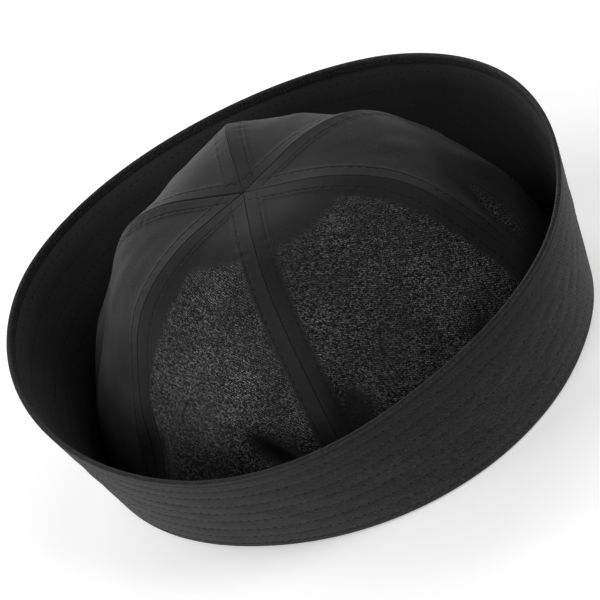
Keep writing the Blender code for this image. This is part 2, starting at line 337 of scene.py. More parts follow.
class NodeDesk:
    """Small helper that lays out the nodes of one material."""

    def __init__(self, name: str) -> None:
        """Start an empty material.

        Args:
            name: Name of the material.
        """
        self.material = bpy.data.materials.new(name)
        self.material.use_nodes = True
        self.tree = self.material.node_tree
        self.shader = self.tree.nodes["Principled BSDF"]

    def add(self, kind: str, inputs: dict | None = None, **settings: object) -> bpy.types.Node:
        """Add a node.

        Args:
            kind: Blender's name for the kind of node.
            inputs: Values or sockets for its inputs, by name or number.
            settings: Attributes to be set on the node.

        Returns:
            The new node.
        """
        node = self.tree.nodes.new(kind)
        for key, value in settings.items():
            setattr(node, key, value)
        for key, value in (inputs or {}).items():
            self.join(value, node.inputs[key])
        return node

    def join(self, value: object, socket: bpy.types.NodeSocket) -> None:
        """Feed a socket.

        Args:
            value: A number, a colour, or the output socket of another node.
            socket: The input that it goes to.
        """
        if isinstance(value, bpy.types.NodeSocket):
            self.tree.links.new(value, socket)
        else:
            socket.default_value = value

    def maths(self, operation: str, *values: object) -> bpy.types.NodeSocket:
        """Result of a Math node.

        Args:
            operation: Blender's name for the operation.
            values: Its inputs in order, as numbers or sockets.

        Returns:
            The socket that holds the result.
        """
        node = self.add("ShaderNodeMath", dict(enumerate(values)), operation=operation)
        return node.outputs[0]

    def cloth_place(self, turn: float, across: float, along: float) -> bpy.types.NodeSocket:
        """Place on the cloth, turned and counted in steps.

        Args:
            turn: Turn of the axes in degrees.
            across: Length of one step across, in metres.
            along: Length of one step along, in metres.

        Returns:
            The socket that holds the place as a vector.
        """
        place = self.add("ShaderNodeUVMap", uv_map=CLOTH_MAP).outputs[0]
        turned = self.add("ShaderNodeMapping", {"Vector": place, "Rotation": (0, 0, math.radians(turn))})
        return self.add("ShaderNodeMapping", {"Vector": turned.outputs[0],
                                              "Scale": (1 / across, 1 / along, 1)}).outputs[0]

    def mark(self, name: str) -> bpy.types.NodeSocket:
        """Value of a mark that the mesh carries."""
        return self.add("ShaderNodeAttribute", attribute_name=name).outputs["Fac"]

    def factor(self, value: object, middle: float, strength: object) -> bpy.types.NodeSocket:
        """A factor near 1 that follows a value.

        Args:
            value: Socket of the value.
            middle: The value at which the factor is 1.
            strength: How much the factor changes for a change of 1 in the value.

        Returns:
            The socket that holds the factor.
        """
        return self.maths("MULTIPLY_ADD", self.maths("SUBTRACT", value, middle), strength, 1.0)

    def product(self, first: object, *others: object) -> bpy.types.NodeSocket:
        """Product of several numbers or sockets."""
        for other in others:
            first = self.maths("MULTIPLY", first, other)
        return first

    def noise(self, steps: tuple[float, float], scale: float, detail: float) -> bpy.types.NodeSocket:
        """Value of a noise on the cloth, with the lengths of its steps across and along."""
        place = self.cloth_place(0.0, *steps)
        inputs = {"Vector": place, "Scale": scale, "Detail": detail}
        return self.add("ShaderNodeTexNoise", inputs).outputs["Fac"]

    def bands(self, turn: float, step: float, inputs: dict) -> bpy.types.NodeSocket:
        """Value of soft bands on the cloth.

        Args:
            turn: Turn of the bands in degrees.
            step: Distance from band to band, in metres.
            inputs: Further inputs of the Wave node.

        Returns:
            The socket that holds the value.
        """
        place = self.cloth_place(turn, 1.0, 1.0)
        inputs = {"Vector": place, "Scale": BAND_STEP / step, **inputs}
        return self.add("ShaderNodeTexWave", inputs, wave_type="BANDS", bands_direction="X").outputs["Fac"]

    def tint(self, tone: float, shade: bpy.types.NodeSocket) -> None:
        """Colour the shader with a grey tone that is scaled by a shade."""
        dyed = self.add("ShaderNodeVectorMath", {0: (tone,) * 3}, operation="SCALE")
        self.join(shade, dyed.inputs["Scale"])
        self.join(dyed.outputs[0], self.shader.inputs["Base Color"])

    def emboss(self, strength: float, relief: float, height: bpy.types.NodeSocket) -> None:
        """Give the shader a relief, as deep as given in metres."""
        bump = self.add("ShaderNodeBump", {"Strength": strength, "Distance": relief, "Height": height})
        self.join(bump.outputs[0], self.shader.inputs["Normal"])


@dataclass(frozen=True)
class ClothFinish:
    """Finish of a black cotton cloth: rib, yarns, worn edges, painted glints, and painted light and shade.
    """

    name: str
    weave: Weave
    tone: float
    rib: float = 0.71 * MM
    rib_unevenness: float = 1.4
    yarn: float = 0.42 * MM
    # Length and thickness of a yarn's marks, as shares of the yarn.
    yarn_marks: tuple[float, float] = (3.2, 0.8)
    speck: tuple[float, float] = (0.48 * MM, 0.28 * MM)
    speck_power: float = 3.0
    roughness: float = 0.62
    yarn_roughness: float = 0.35
    glint_roughness: float = -0.25
    gloss: float = 0.12
    sheen: float = 0.06
    sheen_roughness: float = 0.35
    rib_contrast: float = 0.22
    yarn_contrast: float = 0.30
    glint: float = 8.5
    glint_middle: float = 0.10
    glint_rib: float = 0.9
    glint_cloud: float = 2.4
    glint_least: float = 0.05
    cloud: float = 0.16
    cloud_scale: float = 34.0
    # How much worn edges with painted light and shade change the colour, and how much folds darken it as
    # painted shade.
    wear_and_painted_light: float = 0.5
    fold: float = 0.2
    grain: float = 0.0
    relief: float = 0.10 * MM
    relief_strength: float = 0.7
    rib_height: float = 0.6
    glint_height: float = 0.8

    def material(self) -> bpy.types.Material:
        """Node material of the cloth.

        Returns:
            The material, with colour, roughness and relief from the weave.
        """
        desk = NodeDesk(self.name)
        rib = desk.bands(self.weave.value, self.rib, {
            "Distortion": self.rib_unevenness, "Detail": 1.0, "Detail Scale": 2.5})
        long, thick = (share * self.yarn for share in self.yarn_marks)
        weft = desk.noise((long, thick), 1.0, 1.0)
        warp = desk.noise((thick, long), 1.0, 1.0)
        yarns = desk.product(desk.maths("ADD", weft, warp), 0.5)
        cells = desk.add("ShaderNodeTexVoronoi", {
            "Vector": desk.cloth_place(self.weave.value - 90.0, *self.speck),
            "Scale": 1.0, "Randomness": 1.0}).outputs["Color"]
        chance = desk.add("ShaderNodeSeparateColor", {0: cells}).outputs[0]
        bright = desk.maths("POWER", chance, self.speck_power)
        mark = desk.mark("glint")
        shining = desk.product(bright, mark)
        cloud = desk.noise((1.0, 1.0), self.cloud_scale, 3.0)

        rib_strength = desk.maths("MULTIPLY_ADD", mark, self.glint_rib, self.rib_contrast)
        glint = desk.product(mark, desk.factor(cloud, 0.5, self.glint_cloud))
        glint = desk.maths("MULTIPLY_ADD", glint, self.glint, self.grain)
        glint = desk.factor(bright, self.glint_middle, glint)
        # Colour: rib, yarns, random tone, worn edges with painted light and shade, painted shade in folds,
        # and painted glints.
        desk.tint(self.tone, desk.product(
            desk.factor(rib, 0.5, rib_strength),
            desk.factor(yarns, 0.5, self.yarn_contrast * 4),
            desk.factor(cloud, 0.5, self.cloud * 4),
            desk.factor(desk.mark("wear_and_painted_light"), 0.0, self.wear_and_painted_light),
            desk.factor(desk.mark("fold"), 0.0, -self.fold),
            desk.maths("MAXIMUM", glint, self.glint_least)))

        rough = desk.maths("SUBTRACT", yarns, 0.5)
        rough = desk.maths("MULTIPLY_ADD", rough, self.yarn_roughness, self.roughness)
        rough = desk.maths("MULTIPLY_ADD", shining, self.glint_roughness, rough)
        desk.join(rough, desk.shader.inputs["Roughness"])
        height = desk.maths("MULTIPLY_ADD", rib, self.rib_height, yarns)
        height = desk.maths("MULTIPLY_ADD", shining, self.glint_height, height)
        desk.emboss(self.relief_strength, self.relief, height)
        desk.shader.inputs["Specular IOR Level"].default_value = self.gloss
        desk.shader.inputs["Sheen Weight"].default_value = self.sheen
        desk.shader.inputs["Sheen Roughness"].default_value = self.sheen_roughness
        return desk.material


@dataclass(frozen=True)
class ThreadFinish:
    """Finish of black sewing thread: two plies twisted round each other."""

    name: str
    tone: float = 0.007
    twist: float = 0.55 * MM
    twist_degrees: float = 35.0
    relief: float = 0.05 * MM
    roughness: float = 0.6
    gloss: float = 0.10

    def material(self) -> bpy.types.Material:
        """Node material of the thread.

        Returns:
            The material, with the twist as relief and as a faint change of tone.
        """
        desk = NodeDesk(self.name)
        twist = desk.bands(self.twist_degrees, self.twist, {"Distortion": 0.5})
        desk.tint(self.tone, desk.maths("MULTIPLY_ADD", twist, 0.5, 0.75))
        desk.join(desk.maths("MULTIPLY_ADD", twist, -0.15, self.roughness),
                  desk.shader.inputs["Roughness"])
        desk.emboss(0.5, self.relief, twist)
        desk.shader.inputs["Specular IOR Level"].default_value = self.gloss
        return desk.material


@dataclass(frozen=True)
class CapForm:
    """Sizes that the brim and the crown share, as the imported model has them."""

    head_length: float = 0.2015
    head_width: float = 0.1815
    head_power: float = 2.1
    rim_length: float = 0.226
    rim_width: float = 0.215
    rim_power: float = 1.9
    brim_height: float = 0.0597
    crown_height: float = 0.0910
    cad_cloth: float = 1.0 * MM
    cloth: float = 0.6 * MM
    ply_gap: float = 0.3 * MM
    fold_radius: float = 1.2 * MM
    roll_radius: float = 0.75 * MM
    rim_band: float = 0.5 * MM
    facing_bend: float = 0.3
    # Waves round the rim, then cosine and sine as shares of the brim's height.
    rim_waves: tuple[tuple[int, float, float], ...] = ((1, 0.021, 0.055), (2, 0.053, 0.045))
    # Direction and half width in degrees, depth as a share of the brim's height.
    rim_dips: tuple[tuple[float, float, float], ...] = ((3.0, 52.0, 0.067), (290.0, 42.0, 0.025))

    @property
    def outer_inset(self) -> float:
        """Inset of the middle of the outer ply from the outside of the brim."""
        return self.cloth / 2

    @property
    def crown_inset(self) -> float:
        """Inset of the middle of the crown's cloth at its foot."""
        return self.cad_cloth * 2.5 + self.ply_gap * 2

    @property
    def hem_inset(self) -> float:
        """Inset of the middle of the hem inside the head opening."""
        return self.cad_cloth * 3.5 + self.ply_gap * 3

    @property
    def lip_inset(self) -> float:
        """Inset of the middle of the lip that hangs inside the rim."""
        return self.outer_inset + 2 * self.roll_radius

    @property
    def foot_height(self) -> float:
        """Height at which the facing and the crown stand in the lower fold."""
        return self.cad_cloth / 2 + self.fold_radius

    @property
    def roll_reach(self) -> float:
        """Height of the rolled edge above the end of the facing."""
        return self.roll_radius + self.cloth / 2

    def facing_inset(self, share: float) -> float:
        """Inset of the middle of the facing, which nears the outer ply low in the wall."""
        low = self.cad_cloth * 1.5 + self.ply_gap
        high = self.outer_inset + self.roll_radius
        return low + (high - low) * min(share / self.facing_bend, 1.0)

    def oval(self, length: float, width: float, power: float, turn: np.ndarray,
             inset: np.ndarray) -> np.ndarray:
        """Points of an oval.

        Args:
            length: Length along X.
            width: Width along Y.
            power: Squareness, where 2 is an ellipse.
            turn: Places round the oval, from 0 to 1.
            inset: Distance by which each point is moved inwards.

        Returns:
            X and Y on the last axis.
        """
        c, s = np.cos(2 * math.pi * turn), np.sin(2 * math.pi * turn)
        x = length / 2 * np.copysign(np.abs(c) ** (2 / power), c)
        y = width / 2 * np.copysign(np.abs(s) ** (2 / power), s)
        nx = np.copysign(np.abs(2 * x / length) ** (power - 1), c) / length
        ny = np.copysign(np.abs(2 * y / width) ** (power - 1), s) / width
        size = np.hypot(nx, ny)
        return np.stack([x - inset * nx / size, y - inset * ny / size], -1)

    def rim_height(self, turn: np.ndarray) -> np.ndarray:
        """Height of the rim above the lower fold at turns from 0 to 1."""
        height = np.full_like(turn, self.brim_height)
        for waves, cosine, sine in self.rim_waves:
            angle = 2 * math.pi * turn * waves
            height += self.brim_height * (cosine * np.cos(angle) + sine * np.sin(angle))
        for direction, half_width, share in self.rim_dips:
            height -= self.brim_height * share * window(around(360 * turn - direction), half_width)
        return height

    def wall(self, turn: np.ndarray, inset: np.ndarray, height: np.ndarray) -> np.ndarray:
        """Points in the leaning wall of the brim.

        Args:
            turn: Places round the brim, from 0 to 1.
            inset: Distance from the outside of the brim.
            height: Height above the lower fold.

        Returns:
            Points with X, Y and Z on the last axis.
        """
        low = self.oval(self.head_length, self.head_width, self.head_power, turn, inset)
        high = self.oval(self.rim_length, self.rim_width, self.rim_power, turn, inset)
        share = (height / self.rim_height(turn))[..., None]
        return np.concatenate([low + (high - low) * share, height[..., None] + 0 * share], -1)

    def foot_radius(self, direction: np.ndarray) -> np.ndarray:
        """Radius of the crown at its foot, in directions in radians."""
        c = np.abs(np.cos(direction)) / (self.head_length / 2 - self.crown_inset)
        s = np.abs(np.sin(direction)) / (self.head_width / 2 - self.crown_inset)
        return (c**self.head_power + s**self.head_power) ** (-1 / self.head_power)


@dataclass
class Crown:
    """The dome: six gores, joined by seams whose allowances are pressed open and stitched down."""

    form: CapForm
    finish: ClothFinish
    thread: ThreadFinish
    stitching: Stitching
    seam_allowance: float = 6.3 * MM
    stitch_offset: float = 5.2 * MM
    band_rise: float = 0.18 * MM
    edge_roll: float = 0.36 * MM
    seam_gap: float = 0.005 * MM
    stitch_pull: float = 0.12 * MM
    pull_reach: float = 0.70 * MM
    pucker: float = 0.10 * MM
    pucker_length: float = 6.5 * MM
    # Size, length and shift by gore of the waves that pucker the stitched cloth.
    pucker_waves: tuple[tuple[float, float, float], ...] = ((1.0, 1.0, 1.7), (0.6, 0.61, 1.0))
    pucker_reach: float = 2.6 * MM
    pucker_start: tuple[float, float] = (0.12, 0.3)
    allowance_ply: float = 0.7 * MM
    # How far the raised band fades inside and outside the edge of the allowance.
    band_fade: tuple[float, float] = (0.5 * MM, 1.2 * MM)
    foot_fade: float = 0.93
    # Size in mm, waves round the crown, change of phase downwards, and shift.
    ripples: tuple[tuple[float, ...], ...] = (
        (0.30, 7, 9, 0.6), (0.22, 11, -13, 2.1), (0.16, 17, 21, 4.0), (0.10, 29, -17, 0.0))
    slack_power: float = 2.4
    sag_start: float = 0.06
    sag_length: float = 0.80
    sag_power: float = 1.5
    slope_step: float = 0.01
    apex_radius: float = 0.15 * MM
    rows: int = 168
    # Even share, uneven share and power of the spread of the rows from apex to foot.
    row_spread: tuple[float, float, float] = (0.45, 0.55, 1.6)
    middle_columns: int = 34
    edge_share: float = 0.42
    edge_steps_mm: tuple[float, ...] = (
        0.0, 0.06, 0.14, 0.24, 0.36, 0.5, 0.66, 0.9, 1.3, 1.9, 2.6, 3.3, 3.9, 4.3, 4.6, 4.85, 5.05,
        5.2, 5.35, 5.55, 5.8, 6.1, 6.4, 6.7, 7.1, 7.6, 8.3, 9.2)
    long_seam: tuple[float, float] = (122.0, 300.0)
    # Share of the foot's radius and of the crown's height, from the apex down.
    profile: tuple[tuple[float, float], ...] = (
        (0.000, 0.981), (0.150, 0.992), (0.310, 1.000), (0.440, 0.985), (0.550, 0.952),
        (0.635, 0.905), (0.710, 0.830), (0.775, 0.725), (0.835, 0.610), (0.885, 0.500),
        (0.925, 0.390), (0.955, 0.280), (0.977, 0.170), (0.992, 0.075))
    # Node, direction of the first seam, sag as a share of the crown's height, and strength of the painted
    # glints.
    gores: tuple[tuple[str, float, float, float], ...] = (
        ("crown_panel_1", 5.0, 0.024, 0.12),
        ("crown_panel_2", 60.0, 0.044, 0.12),
        ("crown_panel_3", 122.0, 0.056, 0.10),
        ("crown_panel_4", 188.0, 0.024, 0.12),
        ("crown_panel_5", 243.0, 0.020, 1.0),
        ("crown_panel_6", 300.0, 0.022, 1.0))
    seam_depths: tuple[float, ...] = (0.9, 1.1, 0.8, 2.2, 1.5, 1.0)
    glint_edge_mm: float = 5.8
    # Gore, seam, and the bare margin in mm high up and low down.
    glint_margins_mm: tuple[tuple[int, int, float, float], ...] = ((4, 0, 10.5, 4.4), (5, 1, 8.5, 7.5))
    glint_fade: float = 1.8 * MM
    # Shares downwards between which the glints begin, and between which the margins change.
    glint_start: tuple[float, float] = (0.25, 0.29)
    glint_change: tuple[float, float] = (0.40, 0.62)
    # How much of the glint a fold takes, and between which depths.
    fold_loss: float = 0.85
    fold_range: tuple[float, float] = (0.35, 0.9)
    # Stripe of painted glints: direction and half width in degrees, level and half height, and lean in
    # degrees.
    glint_ridge: tuple[float, ...] = (19.5, 4.4, 0.54, 0.16, 30.0)
    ridge_strength: float = 1.5
    # Distance from the seam, half width and strength of the worn lines.
    worn_lines: tuple[tuple[float, float, float], ...] = (
        (1.1 * MM, 1.0 * MM, 0.2), (6.6 * MM, 0.9 * MM, 0.12))
    # Painted light and shade: direction and half width in degrees, level and half height, and change of
    # the colour.
    painted_light_and_shade_patches: tuple[tuple[float, ...], ...] = (
        (270.0, 28.0, 0.66, 0.30, 1.20),
        (250.0, 16.0, 0.42, 0.24, 1.00),
        (346.0, 18.0, 0.62, 0.26, 1.50),
        (33.0, 26.0, 0.89, 0.13, -0.90),
        (92.0, 34.0, 0.98, 0.06, -0.70),
        (52.0, 12.0, 0.98, 0.06, 1.00))
    # Direction and half width in degrees, level and half height, lean in degrees, depth as a share.
    dents: tuple[tuple[float, ...], ...] = (
        (284.0, 8.0, 0.36, 0.21, -50.0, 0.060),
        (271.0, 9.0, 0.42, 0.26, 0.0, -0.020),
        (293.0, 6.0, 0.42, 0.22, 0.0, -0.018),
        (307.0, 8.0, 0.42, 0.27, 10.0, 0.048),
        (324.0, 12.0, 0.44, 0.26, 0.0, -0.020),
        (343.0, 7.0, 0.38, 0.18, 20.0, 0.038),
        (16.0, 9.0, 0.54, 0.30, 20.0, 0.036),
        (37.0, 12.0, 0.52, 0.30, 0.0, -0.020),
        (78.0, 10.0, 0.42, 0.26, -15.0, 0.030),
        (148.0, 12.0, 0.44, 0.28, 15.0, 0.030),
        (205.0, 9.0, 0.50, 0.30, -10.0, 0.026),
        (246.0, 9.0, 0.40, 0.24, 10.0, 0.030))
    fold_depth: float = 3.6 * MM
    # Direction and half width in degrees, share downwards and half length, share of radius drawn in.
    drawn_sides: tuple[tuple[float, ...], ...] = (
        (204.0, 58.0, 0.46, 0.46, 0.072),
        (174.0, 46.0, 0.43, 0.28, 0.110),
        (140.0, 40.0, 0.38, 0.26, 0.050),
        (68.0, 32.0, 0.36, 0.26, 0.055),
        (26.0, 28.0, 0.50, 0.30, 0.038))

    def meridian(self, share: np.ndarray) -> np.ndarray:
        """Radius share and height of the dome at shares of the way from apex to foot."""
        foot = (1.0, self.form.foot_height / self.form.crown_height)
        rows = np.array(self.profile + (foot,))
        return curve_through(rows, share) * np.array([1.0, self.form.crown_height])

    def dent_depth(self, direction: np.ndarray, height: np.ndarray) -> np.ndarray:
        """How far the soft wall is pushed in.

        Args:
            direction: Directions in degrees.
            height: Heights above the lower fold.

        Returns:
            Depths in metres, below zero where the wall bulges.
        """
        level = height / self.form.crown_height
        depth = np.zeros_like(direction)
        for middle, half_width, centre, half_height, lean, share in self.dents:
            away = around(direction - middle - lean * (level - centre))
            depth += (share * self.form.crown_height * window(away, half_width)
                      * window(level - centre, half_height))
        return depth

    def drawn_share(self, direction: np.ndarray, share: np.ndarray) -> np.ndarray:
        """Share of the radius that is drawn in, in directions in degrees, at shares downwards."""
        total = np.zeros_like(direction)
        for middle, half_width, centre, half_length, drawn in self.drawn_sides:
            away = around(direction - middle)
            total += drawn * window(away, half_width) * np.sqrt(window(share - centre, half_length))
        return total

    def ripple(self, direction: np.ndarray, share: np.ndarray) -> np.ndarray:
        """Soft unevenness of the hanging cloth, in metres outwards."""
        turn = np.radians(direction)
        waves = sum(size * np.sin(count * turn + down * share + shift)
                    for size, count, down, shift in self.ripples)
        return waves * MM * ease(share, 0.15, 0.5) * (1 - ease(share, 0.85, 0.98))

    def surface(self, gore: int, across: np.ndarray, share: np.ndarray) -> np.ndarray:
        """Middle of the cloth of a gore, without its seams.

        Args:
            gore: Number of the gore in the table.
            across: Share of the way from the first seam to the last.
            share: Share of the way from apex to foot.

        Returns:
            Points with X, Y and Z on the last axis.
        """
        first, last = self.seams_of(gore)
        sag = self.gores[gore][2]
        span = math.radians(last - first)
        radius_share, height = np.moveaxis(self.meridian(share), -1, 0)
        before = self.meridian(np.maximum(share - self.slope_step, 0.0))
        after = self.meridian(np.minimum(share + self.slope_step, 1.0))
        run = (after[..., 0] - before[..., 0]) * self.middle_radius(gore)
        drop = before[..., 1] - after[..., 1]
        slope = np.hypot(run, drop)
        out, up = drop / slope, run / slope
        direction = math.radians(first) + span * across
        degrees = np.degrees(direction)
        slack = 1 - np.abs(2 * across - 1) ** self.slack_power
        way = np.clip((share - self.sag_start) / self.sag_length, 0.0, 1.0)
        inward = sag * self.form.crown_height * slack * np.sin(math.pi * way) ** self.sag_power
        inward = inward + self.dent_depth(degrees, height) - self.ripple(degrees, share) * slack
        drawn = 1 - self.drawn_share(degrees, share)
        radius = radius_share * self.form.foot_radius(direction) * drawn - inward * out
        return np.stack([radius * np.cos(direction), radius * np.sin(direction),
                         height - inward * up], -1)

    def seams_of(self, gore: int) -> tuple[float, float]:
        """Directions of the two seams of a gore, in degrees."""
        first = self.gores[gore][1]
        last = self.gores[(gore + 1) % len(self.gores)][1]
        return first, last if last > first else last + 360

    def on_long_seam(self, gore: int) -> bool:
        """Whether one of the seams of a gore is part of the long seam."""
        return any(seam % 360 in self.long_seam for seam in self.seams_of(gore))

    def middle_radius(self, gore: int) -> np.ndarray:
        """Radius of the foot in the middle of a gore."""
        return self.form.foot_radius(np.array(math.radians(sum(self.seams_of(gore)) / 2)))

    def radius_at(self, gore: int, share: np.ndarray) -> np.ndarray:
        """Radius of a gore at shares of the way from apex to foot, without dents."""
        return self.meridian(share)[..., 0] * self.middle_radius(gore)

    def degrees_and_level(self, gore: int, across: np.ndarray,
                          share: np.ndarray) -> tuple[np.ndarray, np.ndarray]:
        """Directions in degrees, and heights as shares of the crown's height, of points of a gore."""
        first, last = self.seams_of(gore)
        level = self.meridian(share)[..., 1] / self.form.crown_height
        return first + (last - first) * across, level

    def seam_distances(self, gore: int, across: np.ndarray, share: np.ndarray) -> list[np.ndarray]:
        """Distances from the lines that are stitched on a gore.

        Args:
            gore: Number of the gore in the table.
            across: Share of the way from the first seam to the last.
            share: Share of the way from apex to foot.

        Returns:
            The distances from the first seam, from the last seam and, on a gore that the long seam
            passes at its tip, from that seam.
        """
        first, last = self.seams_of(gore)
        angle = np.radians(last - first) * across
        radius = self.radius_at(gore, share)
        distances = [radius * np.sin(np.minimum(angle, math.pi / 2)),
                     radius * np.sin(np.minimum(np.radians(last - first) - angle, math.pi / 2))]
        if not self.on_long_seam(gore):
            turn = np.radians(first) + angle - math.radians(self.long_seam[0])
            distances.append(radius * np.abs(np.sin(turn)))
        return distances

    def relief(self, gore: int, across: np.ndarray, share: np.ndarray) -> tuple[np.ndarray, np.ndarray]:
        """Relief of a gore's seams.

        Args:
            gore: Number of the gore in the table.
            across: Share of the way from the first seam to the last.
            share: Share of the way from apex to foot.

        Returns:
            How far the outer face stands out, and how far the inner face stands in.
        """
        distances = self.seam_distances(gore, across, share)
        radius = self.radius_at(gore, share)
        inside, outside = self.band_fade
        band = np.max([1 - ease(d, self.seam_allowance - inside, self.seam_allowance + outside)
                       for d in distances], axis=0)
        pull = np.max([window(d - self.stitch_offset, self.pull_reach) for d in distances], axis=0)
        edge = np.minimum(distances[0], distances[1])
        first, last = (self.edge_roll * self.seam_depths[(gore + step) % len(self.gores)]
                       for step in (0, 1))
        roll = np.where(distances[0] < distances[1], first, last)
        inside_roll = np.clip(1 - edge / roll, 0.0, 1.0)
        groove = roll * (1 - np.sqrt(np.maximum(1 - inside_roll**2, 0.0)))
        near = np.exp(-((edge - self.stitch_offset) / self.pucker_reach) ** 2)
        wave = sum(size * np.sin(2 * math.pi * radius / (self.pucker_length * length) + gore * shift)
                   for size, length, shift in self.pucker_waves)
        foot = 1 - ease(share, self.foot_fade, 1.0)
        out = self.band_rise * band * foot - self.stitch_pull * pull - groove
        out = out + self.pucker * near * wave * ease(share, *self.pucker_start) * foot
        inner = (self.allowance_ply * band - 0.5 * self.stitch_pull * pull) * foot
        return out, inner

    def grid(self, gore: int) -> tuple[np.ndarray, np.ndarray]:
        """Stations of a gore.

        Args:
            gore: Number of the gore in the table.

        Returns:
            Share across and share downwards of each point, rows by columns.
        """
        start = self.apex_radius / float(self.radius_at(gore, np.array(1.0)))
        t = np.linspace(0.0, 1.0, self.rows)
        even, uneven, power = self.row_spread
        share = start * 0.75 + (1 - start * 0.75) * (even * t + uneven * t**power)
        first, last = self.seams_of(gore)
        width = math.radians(last - first) * self.radius_at(gore, share)
        steps = np.array(self.edge_steps_mm) * MM
        scale = np.minimum(1.0, self.edge_share * width / steps[-1])
        side = self.seam_gap + steps * scale[:, None]
        inner = side[:, -1]
        t = np.arange(1, self.middle_columns + 1) / (self.middle_columns + 1)
        middle = inner[:, None] + (width - 2 * inner)[:, None] * t
        distance = np.concatenate([side, middle, (width[:, None] - side)[:, ::-1]], axis=1)
        return distance / width[:, None], np.broadcast_to(share[:, None], distance.shape)

    def folds(self, gore: int, across: np.ndarray, share: np.ndarray) -> np.ndarray:
        """How deep the cloth lies in a fold, from 0 to 1, where its colour is darkened as painted shade.
        """
        first, last = self.seams_of(gore)
        depth = self.dent_depth(first + (last - first) * across, self.meridian(share)[..., 1])
        return np.clip(depth / self.fold_depth, 0.0, 1.0)

    def glints(self, gore: int, across: np.ndarray, share: np.ndarray) -> np.ndarray:
        """Strength of the painted glints, from 0 to 1: below the top of a gore, off bands and folds."""
        strength = self.gores[gore][3] * ease(share, *self.glint_start)
        low_down = ease(share, *self.glint_change)
        margins = {(number, line): (high, low) for number, line, high, low in self.glint_margins_mm}
        for line, distance in enumerate(self.seam_distances(gore, across, share)):
            high, low = margins.get((gore, line), (self.glint_edge_mm, self.glint_edge_mm))
            margin = (high + (low - high) * low_down) * MM
            strength = strength * ease(distance - margin, 0.0, self.glint_fade)
        in_fold = ease(self.folds(gore, across, share), *self.fold_range)
        strength = strength * (1 - self.fold_loss * in_fold)
        degrees, level = self.degrees_and_level(gore, across, share)
        middle, half_width, centre, half_height, lean = self.glint_ridge
        away = around(degrees - middle - lean * (level - centre))
        ridge = self.ridge_strength * window(away, half_width) * window(level - centre, half_height)
        return np.maximum(strength, ridge)

    def tint(self, gore: int, across: np.ndarray, share: np.ndarray) -> np.ndarray:
        """How much paler or darker the colour is painted in broad patches: painted light above zero,
        painted shade below.
        """
        degrees, level = self.degrees_and_level(gore, across, share)
        total = np.zeros_like(degrees)
        for middle, half_width, centre, half_height, change in self.painted_light_and_shade_patches:
            beside = window(around(degrees - middle), half_width)
            total += change * beside * window(level - centre, half_height)
        return total

    def panel(self, gore: int) -> bpy.types.Object:
        """One gore of cloth.

        Args:
            gore: Number of the gore in the table.

        Returns:
            The new piece, in the place of its CAD node.
        """
        name = self.gores[gore][0]
        across, share = self.grid(gore)
        middle = self.surface(gore, across, share)
        normals = grid_normals(middle, False)
        out, inner = self.relief(gore, across, share)
        half = self.form.cloth / 2
        distances = self.seam_distances(gore, across, share)
        edge = np.minimum(distances[0], distances[1])
        # The marks hold worn lines along the seams with patches of painted light and shade, and folds
        # darkened as painted shade.
        worn = sum(strength * window(edge - away, reach) for away, reach, strength in self.worn_lines)
        marks = {"glint": self.glints(gore, across, share),
                 "wear_and_painted_light": worn + self.tint(gore, across, share),
                 "fold": self.folds(gore, across, share)}
        shell = ClothShell(name + "_cloth", middle + normals * (half + out)[..., None],
                           middle - normals * (half + inner)[..., None], False, marks)
        return shell.build()

    def thread_row(self, gore: int, line: int, side: Side) -> ThreadRow:
        """One stitched line on a gore.

        Args:
            gore: Number of the gore in the table.
            line: Number of the line in the list of seam distances.
            side: Face of the cloth that the thread lies on.

        Returns:
            The row.
        """
        first, last = self.seams_of(gore)
        span = math.radians(last - first)
        if line < 2:
            share = np.linspace(0.02, 0.985, 1200)
            radius = self.radius_at(gore, share)
            angle = np.arcsin(np.clip(self.stitch_offset / radius, 0, 1))
            fits = (radius > self.stitch_offset) & (angle < span - 0.01)
            across = (angle if line == 0 else span - angle) / span
        else:
            across = np.linspace(0.01, 0.99, 120)
            turn = math.radians(first) + span * across - math.radians(self.long_seam[0])
            wanted = self.stitch_offset / np.abs(np.sin(turn))
            shares = np.linspace(0.0, 0.4, 900)
            share = np.interp(wanted, self.radius_at(gore, shares), shares)
            fits = np.ones_like(across, bool)
        across, share = across[fits], share[fits]
        step = 0.002
        points = self.surface(gore, across, share)
        down = self.surface(gore, across, share + step) - self.surface(gore, across, share - step)
        aside = self.surface(gore, across + step, share) - self.surface(gore, across - step, share)
        normals = unit(np.cross(down, aside))
        out, inner = self.relief(gore, across, share)
        height = self.form.cloth / 2 + (out if side is Side.OUTSIDE else inner)
        outward = normals * side.value
        return ThreadRow(points + outward * height[:, None], outward, 0.4 * MM)

    def build(self) -> None:
        """Make all gores and the thread on their seams."""
        cloth, thread = self.finish.material(), self.thread.material()
        for gore, (node, *_) in enumerate(self.gores):
            piece = self.panel(gore)
            dress(piece, cloth, "crown_twill", node)
        for side in Side:
            rows = []
            for gore in range(len(self.gores)):
                lines = 2 if self.on_long_seam(gore) else 3
                rows += [self.thread_row(gore, line, side) for line in range(lines)]
            piece = self.stitching.sew(f"crown_thread_{side.name.lower()}", rows)
            dress(piece, thread, "crown_twill")


